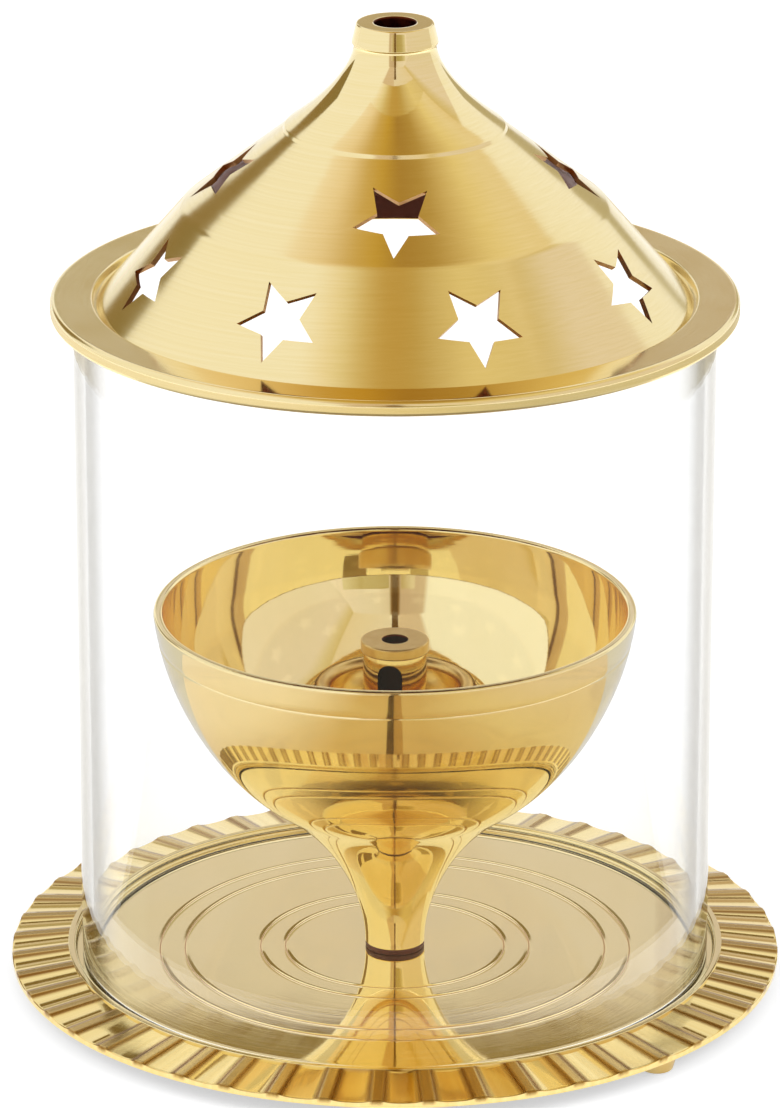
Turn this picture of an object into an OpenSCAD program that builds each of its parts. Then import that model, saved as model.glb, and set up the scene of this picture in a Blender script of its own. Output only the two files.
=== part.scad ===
// Akhand diya: an oil lamp of turned and spun brass inside a glass chimney.
// A fluted plate on three feet carries a stemmed oil bowl, held by one screw from below. A wick holder stands
// loose in the bowl, the glass stands loose on the plate, and a pierced lid rests on the glass.
// Millimetres, +Z up, the origin on the ground under the middle of the plate, the front towards -Y.

/* [Glass] */
// Outer diameter of the chimney
glass_d = 100; // [94:0.5:106]
// Wall of the chimney
glass_wall = 1.8; // [1.4:0.1:2.4]
// Length of the chimney
glass_h = 108.5; // [95:0.5:120]
// Free space round the foot of the glass, inside the plate's lip
glass_play = 1; // [0.5:0.1:1.5]

/* [Plate] */
// Thickness of the flat floor
plate_t = 1; // [0.8:0.1:1.6]
// Width of the plain lip round the floor
lip_w = 1.3; // [1:0.1:2]
// Height of the lip above the floor
lip_h = 1.4; // [1.2:0.1:2]
// Width of the fluted band outside the lip
band_w = 9; // [8:0.2:12]
// Height of the flutes' crests at the outer edge, above the underside
edge_h = 1.3; // [1.1:0.1:1.5]
// Step from the lip down to the crests beside it
crest_step = 0.1; // [0.05:0.05:0.2]
// Number of flutes
flute_count = 48; // [36:1:60]
// Depth of a flute at the outer edge
flute_depth = 0.4; // [0.25:0.05:0.6]
// Width of the crest left between two flutes, at the outer edge
flute_land = 1.3; // [0.8:0.1:1.8]
// Turn of the first crest away from the front
flute_turn = -2.6; // [-4:0.1:4]
// Radius of the smaller pair of turned circles on the floor
inner_pair_r = 17.5; // [14:0.5:20]
// Radius of the larger pair of turned circles on the floor
outer_pair_r = 33.6; // [30:0.5:38]
// Distance between the two circles of a pair
pair_gap = 4; // [3:0.5:5]
// Width of a turned circle
line_w = 0.5; // [0.3:0.1:0.8]
// Depth of a turned line
line_depth = 0.15; // [0.1:0.05:0.25]

/* [Feet] */
// Height of a foot
foot_h = 2.6; // [2.4:0.1:5]
// Diameter of a foot under the plate
foot_top_d = 6.4; // [5.6:0.2:8]
// Diameter of a foot on the ground
foot_end_d = 5; // [4:0.2:5.4]
// Distance from the plate's edge in to the middle of a foot
foot_inset = 4; // [3.4:0.1:7]
// Turn of the first foot away from the front
foot_turn = 45; // [0:1:60]

/* [Fixing] */
// Diameter of the fixing screw's shank
screw_d = 4.9; // [3.9:0.1:5.5]
// Length of the shank under the head
screw_l = 12.4; // [10:0.2:14]
// Diameter of the screw's head
head_d = 8.8; // [8.4:0.2:10]
// Height of the screw's head
head_h = 1.4; // [1.2:0.1:1.6]
// Width of the slot in the head
slot_w = 1.2; // [0.8:0.1:1.6]
// Depth of the slot in the head
slot_depth = 0.7; // [0.4:0.1:0.9]
// Diameter of the flat washer under the head
flat_washer_d = 11.2; // [10.4:0.2:13]
// Thickness of the flat washer
flat_washer_t = 0.6; // [0.4:0.1:0.8]
// Diameter of the dark washer under the stem
stem_washer_d = 9.4; // [9:0.1:11]
// Thickness of the dark washer
stem_washer_t = 0.9; // [0.6:0.1:1.4]
// Room round the shank in every hole it passes
screw_play = 0.05; // [0.02:0.01:0.1]
// Free depth past the end of the shank
bore_spare = 1.5; // [1:0.1:3]

/* [Bowl] */
// Outer diameter of the rim
bowl_d = 76.2; // [72:0.2:80]
// Height from the stem's foot to the rim
bowl_h = 56.9; // [54:0.1:60]
// Diameter of the stem at its foot
stem_d = 9.5; // [9:0.1:10]
// Radius at which the stem's flare turns into the bowl
flare_r = 20; // [19:0.1:22]
// Height of that turn above the stem's foot
flare_h = 24.9; // [24:0.1:27]
// Rise of the outline at that turn, in degrees
flare_rise = 34.5; // [32:0.5:37]
// Lean of the outline at the rim, in degrees
rim_lean = 5.5; // [4:0.5:8]
// Wall at the rim
bowl_rim_wall = 1.5; // [1.2:0.1:1.8]
// Wall of the thin part, below the thicker rim
bowl_thin_wall = 0.8; // [0.7:0.1:1.2]
// Distance of the thin wall below the rim
thin_drop = 9.5; // [7:0.5:12]
// Height above the turn of the flare at which the thin wall starts
thin_rise = 8.6; // [6:0.2:12]
// Wall at the turn of the flare
bowl_base_wall = 2; // [1.6:0.1:2.4]
// Height of the flat floor inside, above the stem's foot
bowl_floor_h = 22.5; // [22:0.1:24]
// Distance of the turned line under the rim
rim_line_drop = 4.5; // [3:0.5:7]

/* [Wick holder] */
// Outer diameter of the stand
stand_d = 25.8; // [23:0.1:27]
// Height of the stand
stand_h = 21.9; // [19:0.1:23]
// Wall of the stand
stand_wall = 2.7; // [2:0.1:3]
// Depth of the open dish on top of the stand
dish_depth = 9.9; // [7:0.1:11]
// Thickness of the web under the dish
web_t = 2; // [1.6:0.1:3]
// Width of an oil port in the stand's foot
port_w = 3.8; // [3:0.1:4]
// Number of oil ports
port_count = 4; // [3:1:6]
// Outer diameter of the wick tube
tube_d = 10; // [9:0.1:11]
// Wall of the wick tube
tube_wall = 1.2; // [1:0.1:1.5]
// Height of the tube above the dish
tube_h = 15.1; // [12:0.1:18]
// Length of the tube's spigot in and under the web
spigot_l = 6; // [4:0.5:7]
// Width of the arched window in the tube
window_w = 3.9; // [3:0.1:4.5]
// Distance from the tube's top down to the window's arch
window_drop = 0.9; // [0.6:0.1:2]
// Height of the window
window_h = 11; // [8:0.5:11.4]
// Turn of the window away from the front
window_turn = -10; // [-30:1:30]
// Diameter of the cap
cap_d = 10.8; // [10.4:0.1:13]
// Thickness of the cap
cap_t = 1.8; // [1.4:0.1:2.6]
// Diameter of the wick's hole in the cap
wick_d = 4; // [3:0.1:5]
// Length of the cap's spigot in the tube
cap_spigot_l = 0.8; // [0.6:0.1:0.9]
// Room round a spigot in its hole
spigot_play = 0.05; // [0.02:0.01:0.1]

/* [Lid] */
// Thickness of the spun sheet
lid_t = 0.8; // [0.6:0.05:1]
// Reach of the flange past the glass
flange_over = 3.4; // [2.4:0.1:5]
// Depth of the flange's turned-down edge
skirt_h = 2.3; // [1.8:0.1:4]
// Free space between the locating groove and the inside of the glass
lid_play = 0.5; // [0.3:0.1:0.9]
// Width of the groove between cone and flange
groove_w = 1.8; // [1.6:0.1:2.4]
// Depth of the groove
groove_depth = 1.3; // [1:0.1:1.8]
// Width of the groove's flat bottom
groove_flat = 0.4; // [0.3:0.1:0.6]
// Diameter at the soft crease between the two rows of stars
crease_d = 65.8; // [63:0.2:68]
// Height of the crease above the flange
crease_h = 14.3; // [13:0.1:16]
// Diameter where the neck starts
neck_base_d = 33.9; // [31:0.1:36]
// Height where the neck starts, above the flange
neck_base_h = 27.1; // [26:0.1:29]
// Diameter of the neck under the collar
neck_top_d = 12.6; // [12:0.1:14]
// Height of the neck
neck_h = 12.9; // [11:0.1:15]
// Fall of the neck's outline at its foot, in degrees
neck_fall = 35; // [32:1:38]
// Drop of the small step under the neck
step_h = 0.6; // [0.4:0.1:0.8]
// Width of the small step under the neck
step_w = 0.3; // [0.2:0.1:0.4]
// Height of the collar
collar_h = 3.3; // [2.6:0.1:4.5]
// Diameter of the collar at its foot
collar_d = 13.4; // [13:0.1:15]
// Diameter of the collar on top
collar_top_d = 11.9; // [11:0.1:13]
// Diameter of the vent
vent_d = 6.4; // [5:0.1:7]
// Length of the collar's spigot in the neck
collar_spigot_l = 2.4; // [1.6:0.1:3]

/* [Stars] */
// Radius of a star's tips
star_r = 7; // [6:0.1:7.4]
// Radius of a star's inner corners
star_inner_r = 3.3; // [2.8:0.1:3.6]
// Lean of every star about its own middle
star_twist = -5; // [-12:1:12]
// Number of stars in the upper row
upper_count = 4; // [3:1:4]
// Height of the upper row above the flange
upper_h = 19.6; // [19:0.1:20.5]
// Turn of the first upper star away from the front
upper_turn = 0.7; // [-10:0.1:10]
// Number of stars in the lower row
lower_count = 8; // [6:1:9]
// Height of the lower row above the flange
lower_h = 6.7; // [6.3:0.1:7.5]
// Turn of the first lower star away from the front
lower_turn = 18.7; // [0:0.1:45]

/* [Hidden] */

$fn = 96;
BRASS = [0.86, 0.70, 0.36];
SATIN_BRASS = [0.84, 0.72, 0.45];
STEEL = [0.72, 0.72, 0.74];
DARK = [0.16, 0.12, 0.10];
GLASS = [0.92, 0.96, 0.97, 0.35];

// Cutters run this far past the faces that they cut
past = 1;
// Straight steps in each free curve of an outline
curve_steps = 18;
// Straight steps in the rounded rim of the stand
rim_steps = 12;
// Lengths of the curves' handles, as shares of the height that the curve climbs
stem_pull = 0.25;
flare_pull = 0.59;
cup_pull = 0.38;
rim_pull = 0.37;
neck_top_pull = 0.09;
neck_end_pull = 0.93;

// Heights from the ground up
floor_z = foot_h + plate_t;
stem_z = floor_z + stem_washer_t;
bowl_floor_z = stem_z + bowl_floor_h;
bowl_rim_z = stem_z + bowl_h;
stand_top_z = bowl_floor_z + stand_h;
dish_z = stand_top_z - dish_depth;
tube_top_z = dish_z + tube_h;
glass_top_z = floor_z + glass_h;
flange_z = glass_top_z + lid_t;
neck_top_z = flange_z + neck_base_h + neck_h;

// Radii of the plate from the glass out
glass_r = glass_d / 2;
floor_r = glass_r + glass_play;
lip_r = floor_r + lip_w;
plate_r = lip_r + band_w;
foot_ring_r = plate_r - foot_inset;

// Crest line of the flutes, from the lip down to the edge
crest_in_z = floor_z + lip_h - crest_step;
crest_out_z = foot_h + edge_h;
crest_slope = (crest_in_z - crest_out_z) / band_w;

// Radii of holes and spigots
screw_hole_r = screw_d / 2 + screw_play;
tube_bore_r = tube_d / 2 - tube_wall;
spigot_r = (tube_d / 2 + tube_bore_r) / 2;
neck_bore_r = neck_top_d / 2 - lid_t;

// Radii of the lid from the glass in
groove_out_r = glass_r - glass_wall - lid_play - lid_t;
cone_r = groove_out_r - groove_w;
flange_r = glass_r + flange_over;

// Point at share t of a cubic curve with end points a, d and handles b, c
function cubic_at(a, b, c, d, t) =
    pow(1 - t, 3) * a + 3 * t * pow(1 - t, 2) * b + 3 * t * t * (1 - t) * c + t * t * t * d;

// Points of that curve in even steps
function cubic(a, b, c, d) = [for (i = [0:curve_steps]) cubic_at(a, b, c, d, i / curve_steps)];

// Unit vector across the run from p to q, on its left
function across(p, q) = [p.y - q.y, q.x - p.x] / norm(q - p);

// Outline moved sideways to its left, by widths that are given point by point
function beside(pts, widths) = [
    for (i = [0:len(pts) - 1])
        let (before = across(pts[max(i - 1, 0)], pts[max(i, 1)]))
        let (after = across(pts[min(i, len(pts) - 2)], pts[min(i + 1, len(pts) - 1)]))
        pts[i] + widths[i] * (before + after) / (1 + before * after)
];

function reversed(list) = [for (i = [len(list) - 1:-1:0]) list[i]];
function without_first(list) = [for (i = [1:len(list) - 1]) list[i]];

// Turns from the front, counted towards +X, to angles about +Z
function from_front(turn) = turn - 90;

// Round hole or pin along +Z from z0 to z1
module rod(r, z0, z1) {
    translate([0, 0, z0])
        cylinder(r = r, h = z1 - z0);
}

module flat_ring(outer_r, inner_r, z0, z1) {
    difference() {
        rod(outer_r, z0, z1);
        rod(inner_r, z0 - past, z1 + past);
    }
}

// Shallow line turned into a flat top face
module turned_circle(r, z) {
    difference() {
        rod(r + line_w / 2, z - line_depth, z + past);
        rod(r - line_w / 2, z - line_depth - past, z + 2 * past);
    }
}

// One flute: a round bar laid on the band, deeper at the edge than at the lip so that the crests stay even
module flute_cutter() {
    half_out = plate_r * sin(180 / flute_count) - flute_land / 2;
    half_in = lip_r * sin(180 / flute_count) - flute_land / 2;
    bar_r = (half_out * half_out + flute_depth * flute_depth) / (2 * flute_depth);
    depth_in = bar_r - sqrt(bar_r * bar_r - half_in * half_in);
    fall = atan((crest_in_z - depth_in - crest_out_z + flute_depth) / band_w);
    translate([plate_r, 0, crest_out_z - flute_depth])
        rotate([0, 90 + fall, 0])
            translate([-bar_r, 0, -band_w - lip_w])
                cylinder(r = bar_r, h = band_w + lip_w + 4 * past);
}

module fluted_disc() {
    inner_r = floor_r + lip_w / 2;
    inner_z = crest_in_z + crest_slope * lip_w / 2;
    difference() {
        rotate_extrude()
            polygon([
                [0, foot_h], [plate_r, foot_h], [plate_r, crest_out_z],
                [inner_r, inner_z], [inner_r, floor_z], [0, floor_z]
            ]);
        for (i = [0:flute_count - 1])
            rotate([0, 0, from_front(flute_turn) + (i + 0.5) * 360 / flute_count])
                flute_cutter();
    }
}

// Turned dish with a plain lip round the foot of the glass and a fluted band outside it
module plate() {
    color(BRASS)
        difference() {
            union() {
                fluted_disc();
                flat_ring(lip_r, floor_r, foot_h + plate_t / 2, floor_z + lip_h);
            }
            rod(screw_hole_r, foot_h - past, floor_z + past);
            for (r = [inner_pair_r, inner_pair_r + pair_gap, outer_pair_r, outer_pair_r + pair_gap])
                turned_circle(r, floor_z);
        }
}

module foot(index) {
    color(BRASS)
        rotate([0, 0, from_front(foot_turn) + index * 120])
            translate([foot_ring_r, 0, 0])
                cylinder(h = foot_h, d1 = foot_end_d, d2 = foot_top_d);
}

module stem_screw() {
    head_z = foot_h - flat_washer_t;
    color(STEEL)
        difference() {
            union() {
                rod(head_d / 2, head_z - head_h, head_z);
                rod(screw_d / 2, head_z - head_h / 2, head_z + screw_l);
            }
            translate([-head_d, -slot_w / 2, head_z - head_h - past])
                cube([2 * head_d, slot_w, slot_depth + past]);
        }
}

module screw_washer() {
    color(STEEL)
        flat_ring(flat_washer_d / 2, screw_hole_r, foot_h - flat_washer_t, foot_h);
}

module stem_washer() {
    color(DARK)
        flat_ring(stem_washer_d / 2, screw_hole_r, floor_z, stem_z);
}

// Outline of the goblet from the stem's foot up to the rim, in two curves that meet at the flare
function goblet_outline() =
    let (foot = [stem_d / 2, stem_z])
    let (turn = [flare_r, stem_z + flare_h])
    let (rim = [bowl_d / 2, bowl_rim_z])
    let (rise = [cos(flare_rise), sin(flare_rise)])
    let (lean = [sin(rim_lean), cos(rim_lean)])
    let (cup_h = bowl_h - flare_h)
    concat(
        cubic(foot, foot + [0, stem_pull * flare_h], turn - flare_pull * flare_h * rise, turn),
        without_first(cubic(turn, turn + cup_pull * cup_h * rise, rim - rim_pull * cup_h * lean, rim))
    );

// Wall of the goblet point by point: thick up to the flare, thin and even in the cup, thicker again at the rim
function goblet_walls() =
    let (base = [stem_z + flare_h, bowl_base_wall])
    let (thin_low = [stem_z + flare_h + thin_rise, bowl_thin_wall])
    let (thin_high = [bowl_rim_z - thin_drop, bowl_thin_wall])
    let (rim = [bowl_rim_z, bowl_rim_wall])
    [for (p = goblet_outline()) lookup(p.y, [base, thin_low, thin_high, rim])];

module bowl_hollow() {
    inside = beside(goblet_outline(), goblet_walls());
    top = inside[len(inside) - 1];
    intersection() {
        rotate_extrude()
            polygon(concat([[0, stem_z]], inside, [[top.x, bowl_rim_z + past], [0, bowl_rim_z + past]]));
        rod(bowl_d, bowl_floor_z, bowl_rim_z + 2 * past);
    }
}

// Fine line turned round the outside of the bowl
module rim_line() {
    z = bowl_rim_z - rim_line_drop;
    r = lookup(z, [for (p = goblet_outline()) [p.y, p.x]]);
    flat_ring(r + past, r - line_depth, z - line_w / 2, z + line_w / 2);
}

// Goblet-shaped oil bowl: a solid stem, tapped from below, that flares into a thin cup
module bowl() {
    color(BRASS)
        difference() {
            rotate_extrude()
                polygon(concat([[0, stem_z]], goblet_outline(), [[0, bowl_rim_z]]));
            bowl_hollow();
            rim_line();
            rod(screw_hole_r, stem_z - past, foot_h - flat_washer_t + screw_l + bore_spare);
        }
}

// Rounded rim of the stand, from its outside over the top to its inside
function stand_rim() =
    let (middle = [(stand_d - stand_wall) / 2, stand_top_z - stand_wall / 2])
    [
        for (i = [0:rim_steps])
            middle + stand_wall / 2 * [cos(i * 180 / rim_steps), sin(i * 180 / rim_steps)]
    ];

// Drum with an open dish on top, a web across it and a hollow foot that the oil enters through ports
module wick_stand() {
    hollow_r = stand_d / 2 - stand_wall;
    sides = [[0, dish_z], [0, bowl_floor_z], [stand_d / 2, bowl_floor_z]];
    color(BRASS)
        difference() {
            rotate_extrude()
                polygon(concat(sides, stand_rim(), [[hollow_r, dish_z]]));
            rod(hollow_r, bowl_floor_z - past, dish_z - web_t);
            rod(spigot_r + spigot_play, dish_z - web_t - past, dish_z + past);
            for (i = [0:port_count - 1])
                rotate([0, 0, i * 360 / port_count])
                    translate([hollow_r - past, -port_w / 2, bowl_floor_z - past])
                        cube([stand_wall + 2 * past, port_w, port_w + past]);
        }
}

// Arched window through one side of the tube
module tube_window() {
    arch_z = tube_top_z - window_drop - window_w / 2;
    sill_z = tube_top_z - window_drop - window_h;
    rotate([0, 0, window_turn]) {
        translate([0, 0, arch_z])
            rotate([90, 0, 0])
                cylinder(d = window_w, h = tube_d);
        translate([-window_w / 2, -tube_d, sill_z])
            cube([window_w, tube_d, arch_z - sill_z]);
    }
}

module wick_tube() {
    color(BRASS)
        difference() {
            union() {
                rod(tube_d / 2, dish_z, tube_top_z);
                rod(spigot_r, dish_z - spigot_l, dish_z + past);
            }
            rod(tube_bore_r, dish_z - spigot_l - past, tube_top_z + past);
            tube_window();
        }
}

module wick_cap() {
    color(BRASS)
        difference() {
            union() {
                rod(cap_d / 2, tube_top_z, tube_top_z + cap_t);
                rod(tube_bore_r - spigot_play, tube_top_z - cap_spigot_l, tube_top_z + cap_t / 2);
            }
            rod(wick_d / 2, tube_top_z - cap_spigot_l - past, tube_top_z + cap_t + past);
        }
}

module glass_chimney() {
    color(GLASS)
        flat_ring(glass_r, glass_r - glass_wall, floor_z, glass_top_z);
}

// Neck of the lid from the collar down, hollow-sided
function neck_outline() =
    let (top = [neck_top_d / 2, neck_top_z])
    let (end = [neck_base_d / 2, flange_z + neck_base_h])
    let (fall = [cos(neck_fall), -sin(neck_fall)])
    cubic(top, top - [0, neck_top_pull * neck_h], end - neck_end_pull * neck_h * fall, end);

function crease_point() = [crease_d / 2, flange_z + crease_h];
function cone_slope() = (cone_r - crease_d / 2) / crease_h;

// Lower cone, locating groove, flange and turned-down edge
function lid_foot_outline() = [
    crease_point(),
    [cone_r + cone_slope() * groove_depth, flange_z - groove_depth],
    [cone_r + cone_slope() * groove_depth + groove_flat, flange_z - groove_depth],
    [groove_out_r, flange_z],
    [flange_r, flange_z],
    [flange_r, flange_z - skirt_h]
];

// Outline of the upper side: the neck ends in a small step above the cone
function lid_outline() =
    let (neck = neck_outline())
    let (end = neck[len(neck) - 1])
    concat(neck, [end + [step_w, -step_h]], lid_foot_outline());

// Outline of the under side: one sheet thickness below, smooth under the step
function lid_lining() =
    let (line = concat(neck_outline(), lid_foot_outline()))
    beside(line, [for (p = line) -lid_t]);

// Five-pointed star with one tip along +X
module star() {
    polygon([
        for (i = [0:9])
            (i % 2 == 0 ? star_r : star_inner_r) * [cos(i * 36), sin(i * 36)]
    ]);
}

// Row of stars cut square to the cone that runs from point a down to point b, at height z
module star_row(count, turn, a, b, z) {
    slope = (b.x - a.x) / (a.y - b.y);
    for (i = [0:count - 1])
        rotate([0, 0, from_front(turn) + i * 360 / count])
            translate([a.x + slope * (a.y - z), 0, z])
                rotate([0, 90 - atan(slope), 0])
                    rotate([0, 0, star_twist])
                        linear_extrude(height = star_r, center = true)
                            star();
}

// Spun and pierced lid
module lid_shell() {
    neck_end = [neck_base_d / 2, flange_z + neck_base_h];
    color(SATIN_BRASS)
        difference() {
            rotate_extrude()
                polygon(concat(lid_outline(), reversed(lid_lining())));
            star_row(upper_count, upper_turn, neck_end, crease_point(), flange_z + upper_h);
            star_row(lower_count, lower_turn, crease_point(), [cone_r, flange_z], flange_z + lower_h);
        }
}

// Turned collar round the vent, with a spigot in the neck
module vent_collar() {
    color(SATIN_BRASS)
        difference() {
            union() {
                translate([0, 0, neck_top_z])
                    cylinder(h = collar_h, d1 = collar_d, d2 = collar_top_d);
                rod(neck_bore_r - spigot_play, neck_top_z - collar_spigot_l, neck_top_z + collar_h / 2);
            }
            rod(vent_d / 2, neck_top_z - collar_spigot_l - past, neck_top_z + collar_h + past);
        }
}

plate();
foot(0);  // foot_front_right
foot(1);  // foot_back
foot(2);  // foot_left
stem_screw();
screw_washer();
stem_washer();
bowl();
wick_stand();
wick_tube();
wick_cap();
glass_chimney();
lid_shell();
vent_collar();
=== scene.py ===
# %% [markdown]
# # A brass akhand diya
# An akhand diya is an oil lamp that is kept burning for days on end. A goblet of oil stands on a fluted plate, a loose
# wick holder stands in the oil, a glass tube keeps the draught off and a pierced lid lets the hot air out.
# The CAD frame already has every piece at its true size and place. Polished brass shows each facet of a coarse mesh as
# a kink in its reflections, so this lesson draws the pieces again as fine, smooth surfaces that fit the same sizes.

# %% Load the frame
import math

import bmesh
import bpy
import numpy as np
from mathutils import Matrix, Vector


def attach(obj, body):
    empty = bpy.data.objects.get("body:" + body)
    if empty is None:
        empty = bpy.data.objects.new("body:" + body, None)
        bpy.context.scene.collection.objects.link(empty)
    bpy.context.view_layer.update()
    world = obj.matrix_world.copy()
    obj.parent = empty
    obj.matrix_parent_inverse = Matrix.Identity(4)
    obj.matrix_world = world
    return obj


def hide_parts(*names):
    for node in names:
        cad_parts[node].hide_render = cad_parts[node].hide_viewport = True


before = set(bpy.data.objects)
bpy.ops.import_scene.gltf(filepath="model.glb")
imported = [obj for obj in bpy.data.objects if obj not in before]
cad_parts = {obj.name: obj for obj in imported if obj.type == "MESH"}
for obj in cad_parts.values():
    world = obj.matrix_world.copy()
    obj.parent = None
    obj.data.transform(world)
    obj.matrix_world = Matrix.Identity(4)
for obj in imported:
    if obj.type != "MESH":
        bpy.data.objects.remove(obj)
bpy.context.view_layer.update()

# %% [markdown]
# ## Turned forms
# Nearly everything on this lamp was made on a lathe, so nearly every piece is an outline carried round one axis. A Spin
# or Screw modifier could do that. A grid worked out with numpy is chosen instead, because the same grid can then carry
# flutes and pierced stars. Lengths are in millimetres here and become metres when the mesh is made.

# %% Grids and turned forms
MM = 0.001


def grid_faces(rows, columns, close_rows=True, close_columns=True):
    """Quads of a grid whose points are numbered row by row. Each quad takes a point, the same point of the next row,
    and both neighbours in the next column. Closing joins the last row or column to the first."""
    i = np.arange(rows if close_rows else rows - 1)[:, None]
    j = np.arange(columns if close_columns else columns - 1)[None, :]
    next_i, next_j = (i + 1) % rows, (j + 1) % columns
    corners = (i * columns + j, next_i * columns + j, next_i * columns + next_j, i * columns + next_j)
    return np.stack(np.broadcast_arrays(*corners), axis=-1).reshape(-1, 4)


def round_axis(turn, r, z):
    """Points at a turn from the front towards +X, a radius and a height: (r sin turn, -r cos turn, z)."""
    turn, r, z = np.broadcast_arrays(turn, r, z)
    return np.stack([r * np.sin(turn), -r * np.cos(turn), z], axis=-1)


def full_turn(steps, start=0.0):
    """Even turns once round the axis, in radians, from a start in degrees."""
    return math.radians(start) + np.arange(steps) * 2 * np.pi / steps


def turned(outline, turns, whole=True, ring=True):
    """Outline of (r, z) points carried through the turns, with the metal on the outline's left. A whole form joins its
    last turn to its first, and a ring joins the outline's end to its start. Points on the axis are welded later."""
    r, z = np.asarray(outline, float).T
    points = round_axis(turns[:, None], r, z).reshape(-1, 3)
    return points, grid_faces(len(turns), len(r), whole, ring)


def together(*parts):
    """Several parts, each of points and faces, as one: later faces count on from the points before them."""
    starts = np.cumsum([0] + [len(points) for points, faces in parts[:-1]])
    points = np.concatenate([points for points, faces in parts])
    return points, np.concatenate([faces + start for (points_, faces), start in zip(parts, starts)])


print("A ring of 4 points in 6 turns has", len(turned([(1, 0), (2, 0), (2, 1), (1, 1)], full_turn(6))[1]), "faces")

# %% [markdown]
# ## Outlines
# A turner never leaves a truly sharp corner: each edge is eased with a file or an emery stick, and that small round is
# what catches the light as a thin bright line. The outlines are therefore lists of corners, each with its own radius.
# The free curves of the goblet and the lid's neck are cubic curves with two handles, the same as in the CAD model.

# %% Outlines with eased corners and free curves
LEAD_MM, LEAD_SHARE = 0.25, 0.3


def eased(corners, closed=True, steps=6):
    """Outline whose corners (r, z, radius) become arcs that are tangent to both sides, each with one more point a
    little further along each side, so that flat faces stay flat under smooth shading. A radius of 0 keeps a plain
    point."""
    corners = np.asarray(corners, float)
    run = []
    for k, (x, y, radius) in enumerate(corners):
        here = np.array([x, y])
        if radius == 0 or (not closed and k in (0, len(corners) - 1)):
            run.append(here[None])
            continue
        back, ahead = corners[k - 1, :2] - here, corners[(k + 1) % len(corners), :2] - here
        reach_back, reach_ahead = np.linalg.norm(back), np.linalg.norm(ahead)
        back, ahead = back / reach_back, ahead / reach_ahead
        half = np.arccos(np.clip(back @ ahead, -1, 1)) / 2
        tangent = radius / np.tan(half)
        middle = here + (back + ahead) / np.linalg.norm(back + ahead) * radius / np.sin(half)
        start, end, sweep = here + back * tangent, here + ahead * tangent, np.pi - 2 * half
        t = np.linspace(0, 1, steps + 1)[:, None]
        arc = middle + (np.sin((1 - t) * sweep) * (start - middle) + np.sin(t * sweep) * (end - middle)) / np.sin(sweep)
        lead_in = back * min(LEAD_MM, LEAD_SHARE * max(reach_back - tangent, 0))
        lead_out = ahead * min(LEAD_MM, LEAD_SHARE * max(reach_ahead - tangent, 0))
        run.append(np.vstack([start + lead_in, arc, end + lead_out]))
    return np.vstack(run)


def cubic(a, b, c, d, t):
    """Cubic curve from a to d with handles b and c, at shares t."""
    t = np.asarray(t, float)[:, None]
    a, b, c, d = (np.asarray(p, float) for p in (a, b, c, d))
    return (1 - t) ** 3 * a + 3 * t * (1 - t) ** 2 * b + 3 * t ** 2 * (1 - t) * c + t ** 3 * d


def beside(line, widths):
    """Line moved sideways to its left by the widths, with its corners mitred: the two neighbouring unit normals are
    added and divided by one plus their product."""
    line = np.asarray(line, float)
    step = np.diff(line, axis=0)
    normal = np.stack([-step[:, 1], step[:, 0]], axis=-1) / np.linalg.norm(step, axis=1)[:, None]
    before, after = np.vstack([normal[:1], normal]), np.vstack([normal, normal[-1:]])
    shift = (before + after) / (1 + np.sum(before * after, axis=1))[:, None]
    return line + np.asarray(widths, float).reshape(-1, 1) * shift


def plain(line):
    """Points of a line as corners of radius 0."""
    return np.column_stack([line, np.zeros(len(line))])


print("An eased square has", len(eased([(1, 0, 0.2), (2, 0, 0.2), (2, 1, 0.2), (1, 1, 0.2)])), "points")

# %% [markdown]
# ## From grid to piece
# Each grid becomes one mesh object. Points that fall together, at poles and where two parts of a grid meet, are welded,
# so that the skin is closed. Faces are shaded smooth, and only edges that turn sharply stay crisp. The piece then rides
# on its body of the frame, and stands for the CAD solid that it matches.

# %% Making a piece
CRISP_ANGLE, WELD_REACH = math.radians(34), 2e-7


def face_lay(mesh):
    """For each face: distance from the axis and height in millimetres, and how far its normal points outwards and
    upwards."""
    middle, normal = np.zeros(3 * len(mesh.polygons)), np.zeros(3 * len(mesh.polygons))
    mesh.polygons.foreach_get("center", middle)
    mesh.polygons.foreach_get("normal", normal)
    middle, normal = middle.reshape(-1, 3) / MM, normal.reshape(-1, 3)
    r = np.hypot(middle[:, 0], middle[:, 1])
    outwards = np.sum(middle[:, :2] * normal[:, :2], axis=1) / np.maximum(r, 1e-6)
    return r, middle[:, 2], outwards, normal[:, 2]


def make_piece(name, part, body, stands_for, finish=None):
    """Mesh object of a part in millimetres. A finish function answers each face's lay with the number of its
    material."""
    mesh = bpy.data.meshes.new(name)
    mesh.from_pydata((part[0] * MM).tolist(), [], part[1].tolist())
    form = bmesh.new()
    form.from_mesh(mesh)
    bmesh.ops.remove_doubles(form, verts=form.verts, dist=WELD_REACH)
    form.to_mesh(mesh)
    form.free()
    mesh.shade_smooth()
    mesh.set_sharp_from_angle(angle=CRISP_ANGLE)
    if finish:
        mesh.polygons.foreach_set("material_index", finish(*face_lay(mesh)).astype(np.int32))
    piece = bpy.data.objects.new(name, mesh)
    bpy.context.scene.collection.objects.link(piece)
    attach(piece, body)
    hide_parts(*stands_for)
    print(f"{name}: {len(mesh.polygons)} faces")
    return piece
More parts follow.
